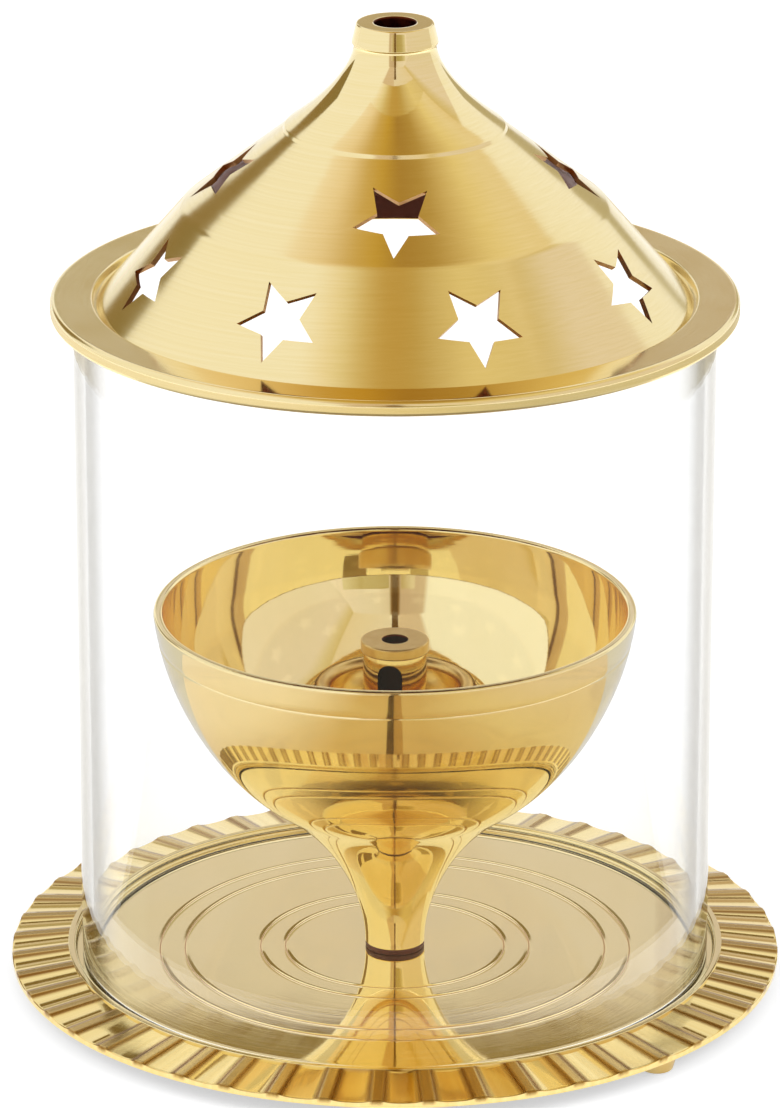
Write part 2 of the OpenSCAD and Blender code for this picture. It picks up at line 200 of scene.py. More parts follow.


# %% [markdown]
# ## The fluted plate
# The plate is a turned brass dish. A low lip keeps the glass in place, and outside it a milling cutter has run 48
# flutes down to the edge, flat at the bottom and steep at the flanks. A boolean cut with 48 bars would leave ragged
# shading on a mirror, so the band is a height over the plate: the crest line, less a hollow. Seventeen grid lines
# follow each hollow and the land beside it, most of them on the flanks. A point attribute marks the flanks, where
# brown is painted as the shade that their tilt would reflect.

# %% Plate
FLUTES, FIRST_CREST = 48, -2.6
LIP_INNER_R, LIP_R, EDGE_R, LAND = 51.0, 52.3, 61.3, 1.3
CREST_AT_LIP, CREST_AT_EDGE, DEPTH_AT_EDGE = 4.9, 3.9, 0.4
UNDERSIDE_Z, BAND_LOW_Z, FLOOR_Z, LIP_Z = 2.6, 2.95, 3.6, 5.0
SCREW_HOLE_R = 2.5
CIRCLES, CIRCLE_HALF, CIRCLE_DEPTH = np.array([37.6, 33.6, 21.5, 17.5]), 0.15, 0.06
FLANK_SHARE, FLANK_FADE = 0.85, 0.35


def flute_half_width(r):
    """Half the width of a hollow: half the pitch on the circle of radius r, less half the land between two hollows."""
    return r * math.sin(math.pi / FLUTES) - LAND / 2


def crest_height(r):
    """Straight line from the lip down to the edge."""
    return CREST_AT_LIP + (CREST_AT_EDGE - CREST_AT_LIP) * (r - LIP_R) / (EDGE_R - LIP_R)


def flute_depth(r):
    """Depth that a round bar leaves where its chord spans the hollow: bar radius less the root of (bar^2 - half^2)."""
    half_edge = flute_half_width(EDGE_R)
    bar = (half_edge ** 2 + DEPTH_AT_EDGE ** 2) / (2 * DEPTH_AT_EDGE)
    return bar - np.sqrt(bar ** 2 - flute_half_width(r) ** 2)


def band_height(r, share):
    """Height of the band: the crest line, less a hollow of depth (1 - |share|^3), which has a flat bottom and steep
    flanks. Share runs from -1 to 1 across the hollow, and a little further onto the land, where the hollow is 0."""
    return crest_height(r) - flute_depth(r) * (1 - np.minimum(np.abs(share), 1) ** 3)


def floor_rows():
    """Floor of the plate from the lip in, with four turned circles: each dips by one wave of a cosine."""
    dip = np.linspace(1, -1, 7)
    line_r = CIRCLES[:, None] + CIRCLE_HALF * dip
    line_z = np.broadcast_to(FLOOR_Z - CIRCLE_DEPTH * (0.5 + 0.5 * np.cos(np.pi * dip)), line_r.shape)
    rest_r = np.array([46.0, 42.0, 38.4, 36.8, 35.6, 34.4, 32.8, 29.0, 25.5, 22.3, 20.7, 19.5, 18.3, 16.7, 13.0, 9.0,
                       6.0, 3.2, SCREW_HOLE_R])
    r = np.concatenate([line_r.ravel(), rest_r])
    z = np.concatenate([line_z.ravel(), np.full(len(rest_r), FLOOR_Z)])
    order = np.argsort(-r)
    return np.stack([r[order], z[order]], axis=-1)


def plate_part():
    """Closed skin of the plate: underside out, edge up, band in, over the lip and along the floor to the screw's hole.
    Band rows take their height from band_height, and each row of the edge drops below it by a fixed amount."""
    under = eased([*[(r, UNDERSIDE_Z, 0) for r in (SCREW_HOLE_R, 6, 20, 40, 56)],
                   (EDGE_R, UNDERSIDE_Z, 0.15), (EDGE_R, 2.9, 0)], False)
    band_r = np.concatenate([EDGE_R - np.array([0, 0.02, 0.1, 0.2, 0.5]), np.linspace(60.0, 53.0, 11), [52.6, LIP_R]])
    band_drop = np.concatenate([[0.16, 0.07, 0.015], np.zeros(len(band_r) - 3)])
    lip = eased([(LIP_R, 4.4, 0), (LIP_R, LIP_Z, 0.06), (LIP_INNER_R, LIP_Z, 0.45), (LIP_INNER_R, FLOOR_Z, 0.3),
                 (48.5, FLOOR_Z, 0)], False)[1:]
    inner = np.vstack([lip, floor_rows()])
    r = np.concatenate([under[:-1, 0], band_r, inner[:, 0]])
    flank = np.array([0.3, 0.55, 0.72, 0.84, 0.93, 1.0, 1.04, 1.15])
    across = np.concatenate([-flank[::-1], [0.0], flank])
    share = np.tile(across, FLUTES)
    middle = np.radians(FIRST_CREST + (np.repeat(np.arange(FLUTES), len(across)) + 0.5) * 360 / FLUTES)
    guide_r = np.clip(r, LIP_R, EDGE_R)
    turn = middle[:, None] + np.arcsin(share[:, None] * flute_half_width(guide_r) / guide_r)
    band_z = band_height(band_r, share[:, None]) - band_drop
    under_z, inner_z = (np.tile(line[:, 1], (len(share), 1)) for line in (under[:-1], inner))
    z = np.hstack([under_z, band_z, inner_z])
    return round_axis(turn, r, z).reshape(-1, 3), grid_faces(len(share), len(r))


def plate_finish(r, z, outwards, upwards):
    """2 on the fluted band and the outer edge, 1 in the turned circles, 0 elsewhere."""
    circle = (r > CIRCLES.min() - 1) & (r < CIRCLES.max() + 1) & (z > UNDERSIDE_Z + 0.5) & (z < FLOOR_Z - 0.02)
    edge = (r > EDGE_R - 0.5) & (outwards > 0.6)
    return np.where(edge | ((r > LIP_R) & (z > BAND_LOW_Z)), 2, circle)


def mark_flanks(piece):
    """Point attribute of the band: 1 on the flanks, about half on the land between two flutes, 0 on the flat bottom.
    The share across the hollow is read back from the height, as the cube root of (1 - part of the depth)."""
    place = np.zeros(3 * len(piece.data.vertices))
    piece.data.vertices.foreach_get("co", place)
    x, y, z = place.reshape(-1, 3).T / MM
    r = np.hypot(x, y)
    sunk = (crest_height(r) - z) / flute_depth(np.clip(r, LIP_R, EDGE_R))
    share = np.cbrt(np.clip(1 - sunk, 0, 1))
    near_flank = np.clip(1 - np.abs(share - FLANK_SHARE) / FLANK_FADE, 0, 1)
    flank = np.where((r > LIP_R - 0.1) & (z > BAND_LOW_Z), near_flank, 0)
    piece.data.attributes.new("flank", "FLOAT", "POINT").data.foreach_set("value", flank.astype(np.float32))
    print("Points on the flanks:", int((flank > 0).sum()), "of", len(flank))


plate = make_piece("plate_fluted", plate_part(), "base", ["plate"], plate_finish)
mark_flanks(plate)

# %% [markdown]
# ## Feet and washer
# Three small turned feet are soldered under the band, and a dark fibre washer keeps the stem from marking the plate.
# They are the same kind of turned form, the feet moved out from the axis to their places on a circle.

# %% Feet and washer
FOOT_RING_R, FIRST_FOOT, FOOT_LOW_R, FOOT_TOP_R = 57.3, 45.0, 2.5, 3.2
WASHER_R, STEM_Z = 4.7, 4.5

foot_outline = eased([(0, 0, 0), (FOOT_LOW_R, 0, 0.4), (FOOT_TOP_R, UNDERSIDE_Z, 0), (0, UNDERSIDE_Z, 0)], False)
foot_points, foot_faces = turned(foot_outline, full_turn(64), ring=False)
feet = [
    make_piece(
        name.replace("foot", "turned_foot"),
        (foot_points + round_axis(math.radians(FIRST_FOOT + 120 * k), FOOT_RING_R, 0), foot_faces),
        "base", [name])
    for k, name in enumerate(["foot_front_right", "foot_back", "foot_left"])
]
washer_outline = eased([
    (SCREW_HOLE_R, FLOOR_Z, 0.1), (WASHER_R, FLOOR_Z, 0.2), (WASHER_R, STEM_Z, 0.2), (SCREW_HOLE_R, STEM_Z, 0.1)])
washer = make_piece("washer_fibre", turned(washer_outline, full_turn(96)), "base", ["stem_washer"])

# %% [markdown]
# ## The oil bowl
# Bowl and stem are one casting, turned and polished all over. The outline is two free curves that meet where the stem's
# flare becomes the cup. The inside is the same line moved in by the wall, cut flat for the floor that the wick holder
# stands on. Just under the rim the turner has left one fine line.

# %% Bowl
STEM_R, TURN_POINT, RIM_POINT, BOWL_FLOOR_Z, SCREW_HOLE_Z = 4.75, (20.0, 29.4), (38.1, 61.4), 27.0, 15.9
LINE_Z, LINE_HALF, LINE_DEPTH = 56.9, 0.3, 0.15


def goblet_line():
    """Outside of the goblet from the stem's foot to the rim, denser near the turned line under the rim."""
    stem = cubic((STEM_R, STEM_Z), (STEM_R, 10.725), (7.893, 21.079), TURN_POINT, np.linspace(0, 1, 56))
    shares = np.union1d(np.linspace(0, 1, 56), np.linspace(0.835, 0.865, 15))
    cup = cubic(TURN_POINT, (30.021, 36.287), (36.965, 49.615), RIM_POINT, shares)
    return np.vstack([stem, cup[1:]])


def bowl_part():
    """Closed skin: down the bore for the screw, out over the foot, up the outside, over the rim and down the inside.
    The wall between both sides is a mean over 4 mm of height. The turned line dips by one wave of a cosine."""
    outside = goblet_line()
    near = outside[:, 1:] + np.linspace(-2, 2, 9)
    wall = np.interp(near, [TURN_POINT[1], 38.0, 51.9, RIM_POINT[1]], [2.0, 0.8, 0.8, 1.5]).mean(axis=1)
    inside = beside(outside, wall)
    off = np.clip((outside[:, 1] - LINE_Z) / LINE_HALF, -1, 1)
    outside[:, 0] -= LINE_DEPTH * (0.5 + 0.5 * np.cos(np.pi * off))
    inside = inside[(inside[:, 1] > BOWL_FLOOR_Z + 0.8) & (inside[:, 1] < RIM_POINT[1] - 1.0)][::-1]
    floor_r = np.interp(BOWL_FLOOR_Z, inside[::-1, 1], inside[::-1, 0])
    bore = [(0, SCREW_HOLE_Z, 0), (SCREW_HOLE_R, SCREW_HOLE_Z, 0.15)]
    foot = [(SCREW_HOLE_R, STEM_Z, 0.15), (STEM_R, STEM_Z, 0.2)]
    rim = [(RIM_POINT[0], RIM_POINT[1], 0.45), (RIM_POINT[0] - 1.5, RIM_POINT[1], 0.45)]
    outside = outside[(outside[:, 1] > STEM_Z + 0.4) & (outside[:, 1] < RIM_POINT[1] - 1.0)]
    floor = [(floor_r - 1.0, BOWL_FLOOR_Z, 0.6), (8.0, BOWL_FLOOR_Z, 0), (0, BOWL_FLOOR_Z, 0)]
    outline = eased(np.vstack([bore, foot, plain(outside), rim, plain(inside), floor]), False)
    return turned(outline, full_turn(320), ring=False)


bowl = make_piece("bowl_polished", bowl_part(), "base", ["bowl"])

# %% [markdown]
# ## Pierced sheet
# The lid has stars sawn through it, and the wick tube has an arched window. Boolean cuts would give long thin triangles
# that break a smooth reflection. Instead the sheet is laid out in fields with one hole each. In a field one parameter
# runs round the hole and, at the same time, round the field's border, and the other runs from the hole to the border.


# %% Fields with one hole
def pierced_field(hole, middle, half_turn, columns, low, high, rows, place, rings=10):
    """Skin and hole wall of one field of sheet. A point is (1 - s) hole(t) + s border(t), where both lines are closed,
    have the same number of points, and run clockwise from the top as seen from outside, in turn and slope. The place
    function carries turn, slope and depth (0 outside, 1 inside) into space."""
    to_right, down = np.arange(columns // 2) / (columns // 2), np.arange(rows) / rows
    to_left = 1 - 2 * np.arange(columns) / columns
    side = np.concatenate([to_right, np.ones(rows), to_left, -np.ones(rows), to_right - 1]) * half_turn
    rise = np.concatenate([np.full(columns // 2, high), high + (low - high) * down, np.full(columns, low),
                           low + (high - low) * down, np.full(columns // 2, high)])
    border = np.stack([side, rise], axis=-1)
    s = np.linspace(0, 1, rings)[None, :, None]
    grid = (1 - s) * hole[:, None] + s * border[:, None]
    outer, inner = (place(grid[..., 0] + middle, grid[..., 1], depth) for depth in (0.0, 1.0))
    faces = grid_faces(len(hole), rings, True, False)
    skin = together((outer.reshape(-1, 3), faces), (inner.reshape(-1, 3), faces[:, ::-1]))
    wall_points = np.stack([inner[:, 0], outer[:, 0]], axis=1).reshape(-1, 3)
    return skin, (wall_points, grid_faces(len(hole), 2, True, False))


WINDOW_WIDTH, WINDOW_LOW, WINDOW_HIGH = 3.9, 42.2, 53.2


def arch_outline(width, low, high):
    """Arched window, clockwise from the top: a half circle on two straight sides, 72 points in all."""
    r = width / 2
    quarter = np.radians(np.arange(12) * 7.5)
    arc = np.stack([r * np.sin(quarter), high - r + r * np.cos(quarter)], axis=-1)
    side = np.stack([np.full(18, r), high - r + (low - high + r) * np.arange(18) / 18], axis=-1)
    sill = np.stack([r * (1 - np.arange(6) / 6), np.full(6, low)], axis=-1)
    right = np.vstack([arc, side, sill])
    left = np.vstack([[[0, low]], right[:0:-1]]) * [-1, 1]
    return np.vstack([right, left])


window_outline = arch_outline(WINDOW_WIDTH, WINDOW_LOW, WINDOW_HIGH)
print("The window's outline has", len(window_outline), "points")

# %% [markdown]
# ## The wick holder
# A drum with an open dish on top stands in the oil. Four ports in its foot let the oil in. A tube rises from the dish,
# with an arched window in front to light the wick through, and a cap with the wick's hole closes it. The ports sit at
# the drum's lower edge, out of sight, so there a boolean cut is good enough.

# %% Wick stand
SEAT_R, HOLLOW_R, STAND_R, WEB_Z, DISH_Z, PORT = 4.45, 10.2, 12.9, 37.0, 39.0, 3.8
BEAD_R, BEAD_Z, BEAD_ROUND, DISH_ROUND = 11.55, 47.55, 1.35, 4.5

arc = np.linspace(0, math.pi, 25)
bead = np.stack([BEAD_R + BEAD_ROUND * np.cos(arc), BEAD_Z + BEAD_ROUND * np.sin(arc)], axis=-1)
stand_outline = eased(np.vstack([
    [(SEAT_R, WEB_Z, 0.1), (HOLLOW_R, WEB_Z, 0.3), (HOLLOW_R, BOWL_FLOOR_Z, 0.15), (STAND_R, BOWL_FLOOR_Z, 0.25)],
    plain(bead), [(HOLLOW_R, DISH_Z, DISH_ROUND), (SEAT_R, DISH_Z, 0.1)]]))
stand_part = turned(stand_outline, full_turn(160))
stand = make_piece("stand_turned", stand_part, "wick_holder", ["wick_stand"])


def stand_finish(r, z, outwards, upwards):
    """1 on the rounded rim, 2 inside the dish, 0 elsewhere."""
    return np.where(z > 47.5, 1, np.where((z > 38.9) & (r < 11) & (outwards < 0.2), 2, 0))


def cut_ports(piece):
    """Cuts four square ports, 3.8 mm wide and high, through the wall at the foot, on the four axes."""
    corner = np.array([
        (x, y, z) for x in (9.4, 13.6) for y in (-PORT / 2, PORT / 2) for z in (26.0, BOWL_FLOOR_Z + PORT)])
    sides = np.array([(0, 1, 3, 2), (4, 6, 7, 5), (0, 4, 5, 1), (2, 3, 7, 6), (0, 2, 6, 4), (1, 5, 7, 3)])
    x, y, z = corner.T
    quarters = [np.stack([c * x - s * y, s * x + c * y, z], axis=-1) for c, s in ((1, 0), (0, 1), (-1, 0), (0, -1))]
    points, faces = together(*[(quarter, sides) for quarter in quarters])
    mesh = bpy.data.meshes.new("ports")
    mesh.from_pydata((points * MM).tolist(), [], faces.tolist())
    cutter = bpy.data.objects.new("ports", mesh)
    bpy.context.scene.collection.objects.link(cutter)
    cut = piece.modifiers.new("ports", "BOOLEAN")
    cut.operation, cut.solver, cut.object = "DIFFERENCE", "EXACT", cutter
    bpy.context.view_layer.update()
    cut_mesh = bpy.data.meshes.new_from_object(piece.evaluated_get(bpy.context.evaluated_depsgraph_get()))
    piece.modifiers.clear()
    piece.data = cut_mesh
    bpy.data.objects.remove(cutter)
    cut_mesh.set_sharp_from_angle(angle=CRISP_ANGLE)
    cut_mesh.polygons.foreach_set("material_index", stand_finish(*face_lay(cut_mesh)).astype(np.int32))
    print("Stand with ports:", len(cut_mesh.polygons), "faces")


cut_ports(stand)

# %% Wick tube and cap
TUBE_R, TUBE_BORE, TUBE_TOP = 5.0, 3.8, 54.1
TUBE_LOW, TUBE_HIGH, WINDOW_TURN = 41.0, 53.7, -10.0
SPIGOT_R, SPIGOT_Z = 4.4, 33.0
CAP_R, CAP_SPIGOT_R, WICK_HOLE_R, CAP_LOW, CAP_TOP = 5.4, 3.75, 2.0, 53.3, 55.9


def tube_place(turn, z, depth):
    """Point on the tube's wall: the radius goes from the outside to the bore as depth goes from 0 to 1."""
    return round_axis(turn, TUBE_R + (TUBE_BORE - TUBE_R) * depth, z)


def tube_part():
    """Foot and head of the tube are turned, the front quarter between them is a field with the window, and the other
    three quarters are plain. The window's outline is wrapped round the tube: turn = arcsine of side over radius."""
    around = full_turn(96, WINDOW_TURN - 45)
    foot = eased([(TUBE_BORE, TUBE_LOW, 0), (TUBE_BORE, SPIGOT_Z, 0.2), (SPIGOT_R, SPIGOT_Z, 0.2),
                  (SPIGOT_R, DISH_Z, 0.05), (TUBE_R, DISH_Z, 0.1), (TUBE_R, TUBE_LOW, 0)], False)
    head = eased([(TUBE_R, TUBE_HIGH, 0), (TUBE_R, TUBE_TOP, 0.12), (TUBE_BORE, TUBE_TOP, 0.12),
                  (TUBE_BORE, TUBE_HIGH, 0)], False)
    window = np.stack([np.arcsin(window_outline[:, 0] / TUBE_R), window_outline[:, 1]], axis=-1)
    skin, wall = pierced_field(window, math.radians(WINDOW_TURN), math.pi / 4, 24, TUBE_LOW, TUBE_HIGH, 12, tube_place)
    back = np.radians(WINDOW_TURN + 45 + np.arange(73) * 3.75)
    heights = TUBE_LOW + (TUBE_HIGH - TUBE_LOW) * np.arange(13) / 12
    outside = turned(np.stack([np.full(13, TUBE_R), heights], axis=-1), back, False, False)
    inside = turned(np.stack([np.full(13, TUBE_BORE), heights[::-1]], axis=-1), back, False, False)
    return together(turned(foot, around, ring=False), turned(head, around, ring=False), skin, wall, outside, inside)


def bore_finish(r, z, outwards, upwards):
    """1 on bores, whose normal points at the axis, 0 elsewhere."""
    return (r < 4) & (outwards < -0.5)


tube = make_piece("tube_pierced", tube_part(), "wick_holder", ["wick_tube"], bore_finish)
cap_outline = eased([
    (WICK_HOLE_R, CAP_LOW, 0.15), (CAP_SPIGOT_R, CAP_LOW, 0.15), (CAP_SPIGOT_R, TUBE_TOP, 0.05), (CAP_R, TUBE_TOP, 0.2),
    (CAP_R, CAP_TOP, 0.3), (WICK_HOLE_R, CAP_TOP, 0.25)])
cap_part = turned(cap_outline, full_turn(128))
cap = make_piece("cap_turned", cap_part, "wick_holder", ["wick_cap"], bore_finish)

# %% [markdown]
# ## The glass chimney
# The chimney is a length of drawn borosilicate tube whose cut ends were melted round in a flame. The walls have to be
# real, with an inside and an outside, because the bright and grey lines at the edges of a glass tube come from light
# that bends in the wall. The grey is made stronger by a painted shade where the glass is seen along the wall.

# %% Glass
GLASS_BORE, GLASS_R, GLASS_TOP, MELTED_ROUND = 48.2, 50.0, 112.1, 0.4

glass_corners = ((GLASS_BORE, FLOOR_Z), (GLASS_R, FLOOR_Z), (GLASS_R, GLASS_TOP), (GLASS_BORE, GLASS_TOP))
glass_outline = eased([(r, z, MELTED_ROUND) for r, z in glass_corners], steps=8)
glass = make_piece("glass_tube", turned(glass_outline, full_turn(320)), "chimney", ["glass_chimney"])

# %% [markdown]
# ## The spun lid
# The lid is brass sheet, spun over a former: a hollow-sided neck, two cones that meet in a soft crease, a groove that
# finds the glass, a flange and a turned-down edge. Four stars are sawn into the upper cone and eight into the lower
# one. All parts share 240 turns of 1.5 degrees, so that the fields and the turned rings meet point on point.

# %% Lid
SHEET, FLANGE_Z, LID_EDGE_Z, FLANGE_R = 0.8, 112.9, 110.6, 53.4
CREASE, STEP_POINT, CONE_END = np.array([32.9, 127.2]), np.array([17.25, 139.4]), np.array([45.1, FLANGE_Z])
NECK_FOOT, NECK_R, NECK_TOP = (16.95, 140.0), 6.3, 152.9
LOWER_END, CREASE_HALF, UPPER_END = -18.55, 0.9, 19.0
STAR_R, STAR_INNER_R, STAR_LEAN = 7.0, 3.3, 5
LID_TURNS = full_turn(240, -3.8)


def cone(low_end, high_end):
    """Uphill unit vector of a cone's outline and the outward normal, which is that vector turned a quarter
    clockwise."""
    uphill = (high_end - low_end) / np.linalg.norm(high_end - low_end)
    return uphill, np.array([uphill[1], -uphill[0]])


LOWER, UPPER = cone(CONE_END, CREASE), cone(CREASE, STEP_POINT)


def on_cone(surface, slope, depth=0.0):
    """Outline point of a cone at a distance uphill from the crease, and at a share of the sheet's thickness inwards."""
    uphill, normal = surface
    slope = np.asarray(slope, float)[..., None]
    return CREASE + slope * uphill - SHEET * depth * normal


def star_outline(per_edge):
    """Five-pointed star, clockwise from its top inner corner, as side and rise in millimetres: ten straight edges
    between corners at 36 degree steps, by turns on the inner and the outer circle. One tip points downhill, and the
    whole star leans a little."""
    angle = np.radians(36 * np.arange(11) + STAR_LEAN)
    radius = np.where(np.arange(11) % 2 == 0, STAR_INNER_R, STAR_R)
    corner = np.stack([radius * np.sin(angle), radius * np.cos(angle)], axis=-1)
    share = (np.arange(per_edge) / per_edge)[None, :, None]
    return (corner[:-1, None] * (1 - share) + corner[1:, None] * share).reshape(-1, 2)


def star_row(surface, count, first_turn, height, low, high, columns, rows):
    """Fields of one row of stars. A star's side is wrapped round the cone: turn = side over the radius at that
    slope."""
    def place(turn, slope, depth):
        line = on_cone(surface, slope, depth)
        return round_axis(turn, line[..., 0], line[..., 1])

    star = star_outline((columns + rows) // 5)
    star[:, 1] += (height - CREASE[1]) / surface[0][1]
    star[:, 0] /= on_cone(surface, star[:, 1])[:, 0]
    middles = np.radians(first_turn + np.arange(count) * 360 / count)
    fields = [pierced_field(star, middle, math.pi / count, columns, low, high, rows, place) for middle in middles]
    return together(*[skin for skin, wall in fields]), together(*[wall for skin, wall in fields])


def lid_rings():
    """The turned parts between the rows of stars, each an open outline: the foot with groove, flange and edge, the
    crease outside and inside, and the neck with its small step. The inside is the outside moved in by the sheet."""
    groove = np.array([
        (46.209, 111.6), (46.609, 111.6), (46.9, FLANGE_Z), (FLANGE_R, FLANGE_Z), (FLANGE_R, LID_EDGE_Z)])
    lining = beside(np.vstack([CREASE, groove]), np.full(6, -SHEET))
    lower_out, lower_in = (on_cone(LOWER, LOWER_END, depth) for depth in (0.0, 1.0))
    foot = np.vstack([
        [(*lower_in, 0)], np.column_stack([lining[1:], [0.2, 0.2, 0.25, 0.4, 0.15]]),
        np.column_stack([groove[::-1], [0.3, 0.9, 0.35, 0.12, 0.12]]), [(*lower_out, 0)]])
    crease_out = [(*on_cone(LOWER, -CREASE_HALF), 0), (*CREASE, 5.0), (*on_cone(UPPER, CREASE_HALF), 0)]
    crease_in = [(*on_cone(UPPER, CREASE_HALF, 1.0), 0), (*lining[0], 4.0), (*on_cone(LOWER, -CREASE_HALF, 1.0), 0)]
    neck = cubic((NECK_R, NECK_TOP), (NECK_R, 151.739), (7.122, 146.881), NECK_FOOT, np.linspace(0, 1, 48))
    neck_in = beside(neck, np.full(48, -SHEET))
    top = [(NECK_R, NECK_TOP, 0.1), (NECK_R - SHEET, NECK_TOP, 0.1)]
    neck_ring = np.vstack([
        [(*on_cone(UPPER, UPPER_END), 0), (*STEP_POINT, 0.25), (*NECK_FOOT, 0.3)], plain(neck[1:-2][::-1]), top,
        plain(neck_in[1:-3]), [(*on_cone(UPPER, UPPER_END, 1.0), 0)]])
    outlines = (foot, crease_out, crease_in, neck_ring)
    return [turned(eased(outline, False), LID_TURNS, ring=False) for outline in outlines]


lower_skin, lower_cuts = star_row(LOWER, 8, 18.7, 119.6, LOWER_END, -CREASE_HALF, 30, 20)
upper_skin, upper_cuts = star_row(UPPER, 4, 0.7, 132.5, CREASE_HALF, UPPER_END, 60, 15)


def lid_finish(r, z, outwards, upwards):
    """2 on the inside, 1 on the sawn edges of the stars, where the normal lies along the sheet, 0 elsewhere."""
    off_sheet = 0.7 * (outwards + upwards)
    sawn_edge = (np.abs(off_sheet) < 0.5) & (r > 17.6) & (r < 45)
    return np.where(sawn_edge, 1, np.where((off_sheet < -0.35) & (r < 45.6), 2, 0))


lid_part = together(*lid_rings(), lower_skin, lower_cuts, upper_skin, upper_cuts)
lid = make_piece("lid_spun", lid_part, "lid", ["lid_shell"], lid_finish)

# %% Collar
VENT_R, COLLAR_SPIGOT_R, COLLAR_LOW, COLLAR_TOP = 3.2, 5.45, 150.5, 156.2

collar_outline = eased([
    (VENT_R, COLLAR_LOW, 0.15), (COLLAR_SPIGOT_R, COLLAR_LOW, 0.15), (COLLAR_SPIGOT_R, NECK_TOP, 0.05),
    (6.7, NECK_TOP, 0.25), (5.95, COLLAR_TOP, 0.3), (VENT_R, COLLAR_TOP, 0.3)])
collar_part = turned(collar_outline, full_turn(160))
collar = make_piece("collar_turned", collar_part, "lid", ["vent_collar"], bore_finish)

# %% [markdown]
# ## Materials
# The colours are written as sRGB hex values, as a paint chart gives them, and one function turns them into the linear
# values that the shader needs. One more function adds a node with its settings, and feeds its sockets with values or
# links.


# %% Colours and nodes
def linear(hex_colour):
    """sRGB hex to linear RGBA: values up to 0.04045 are divided by 12.92, the rest follow the 2.4 power curve."""
    srgb = np.array([int(hex_colour[k:k + 2], 16) for k in (1, 3, 5)]) / 255
    rgb = np.where(srgb <= 0.04045, srgb / 12.92, ((srgb + 0.055) / 1.055) ** 2.4)
    return (*rgb.tolist(), 1.0)


def feed(node, inputs):
    """Fills a node's sockets with values, or links them to the outputs that feed them."""
    for name, value in inputs.items():
        if isinstance(value, bpy.types.NodeSocket):
            node.id_data.links.new(value, node.inputs[name])
        else:
            node.inputs[name].default_value = value


def add_node(tree, kind, inputs=None, **settings):
    """Adds a node, sets its attributes and feeds its sockets."""
    node = tree.nodes.new(kind)
    for name, value in settings.items():
        setattr(node, name, value)
    feed(node, inputs or {})
    return node


def new_material(name):
    """Empty node material with its Principled shader wired to the output."""
    material = bpy.data.materials.new(name)
    material.use_nodes = True
    tree = material.node_tree
    tree.nodes.clear()
    shader = add_node(tree, "ShaderNodeBsdfPrincipled")
    add_node(tree, "ShaderNodeOutputMaterial", {"Surface": shader.outputs[0]})
    return material, tree, shader


print("Polished brass is", [round(v, 3) for v in linear("#F5E3AD")[:3]], "in linear light")

# %% [markdown]
# ## Polished and satin brass
# Both finishes are the same metal, and both carry marks that run round the axis, because the work turned while it was
# polished. The marks come from noise that is fine along the outline and long round the axis: its coordinates are the
# distance from the axis and the height. On the mirror they only fray the reflections. On the lid they scatter light.

# %% Brass from the lathe
NOISE_LOW, NOISE_HIGH, AWAY_FROM_AXIS = 0.3, 0.7, (1.0, 1.0, 0.0)


def turning_marks(tree, pitch_mm, drift_mm):
    """Noise over (radius, height) with about one mark per pitch, which slowly changes round the axis by the drift."""
    place = add_node(tree, "ShaderNodeTexCoord").outputs["Object"]
    outwards = add_node(tree, "ShaderNodeVectorMath", {0: place, 1: AWAY_FROM_AXIS}, operation="MULTIPLY")
    radius = add_node(tree, "ShaderNodeVectorMath", {0: outwards.outputs[0]}, operation="LENGTH")
    height = add_node(tree, "ShaderNodeSeparateXYZ", {0: place})
    across = add_node(tree, "ShaderNodeCombineXYZ", {0: radius.outputs["Value"], 1: height.outputs[2]})
    per_pitch, per_drift = 1 / (pitch_mm * MM), 1 / (drift_mm * MM)
    fine = add_node(tree, "ShaderNodeVectorMath", {0: across.outputs[0], "Scale": per_pitch}, operation="SCALE")
    slow = add_node(tree, "ShaderNodeVectorMath", {0: place, "Scale": per_drift}, operation="SCALE")
    both = add_node(tree, "ShaderNodeVectorMath", {0: fine.outputs[0], 1: slow.outputs[0]}, operation="ADD")
    return add_node(tree, "ShaderNodeTexNoise", {"Vector": both.outputs[0], "Scale": 1.0, "Detail": 2.0}), place


def polished_brass():
    """Cast brass, buffed to a mirror: nearly white-gold in one reflection, deeper gold and orange where it mirrors
    itself. Buffing lines of 0.05 mm are drawn 0.5 mm apart, so that they show, and haze drifts over 14 mm."""
    material, tree, shader = new_material("brass_mirror_polished")
    marks, place = turning_marks(tree, 0.5, 6.0)
    haze = add_node(tree, "ShaderNodeTexNoise", {"Vector": place, "Scale": 1 / (14 * MM), "Detail": 3.0}).outputs[0]
    tone = add_node(tree, "ShaderNodeMix", {0: haze, 6: linear("#F2DFA4"), 7: linear("#F7E7B6")}, data_type="RGBA")
    rough = add_node(tree, "ShaderNodeMapRange", {0: haze, 1: NOISE_LOW, 2: NOISE_HIGH, 3: 0.025, 4: 0.06})
    bump = add_node(tree, "ShaderNodeBump", {"Strength": 0.12, "Distance": 0.01 * MM, "Height": marks.outputs[0]})
    feed(shader, {
        "Base Color": tone.outputs[2], "Roughness": rough.outputs[0], "Normal": bump.outputs[0], "Metallic": 1.0})
    return material


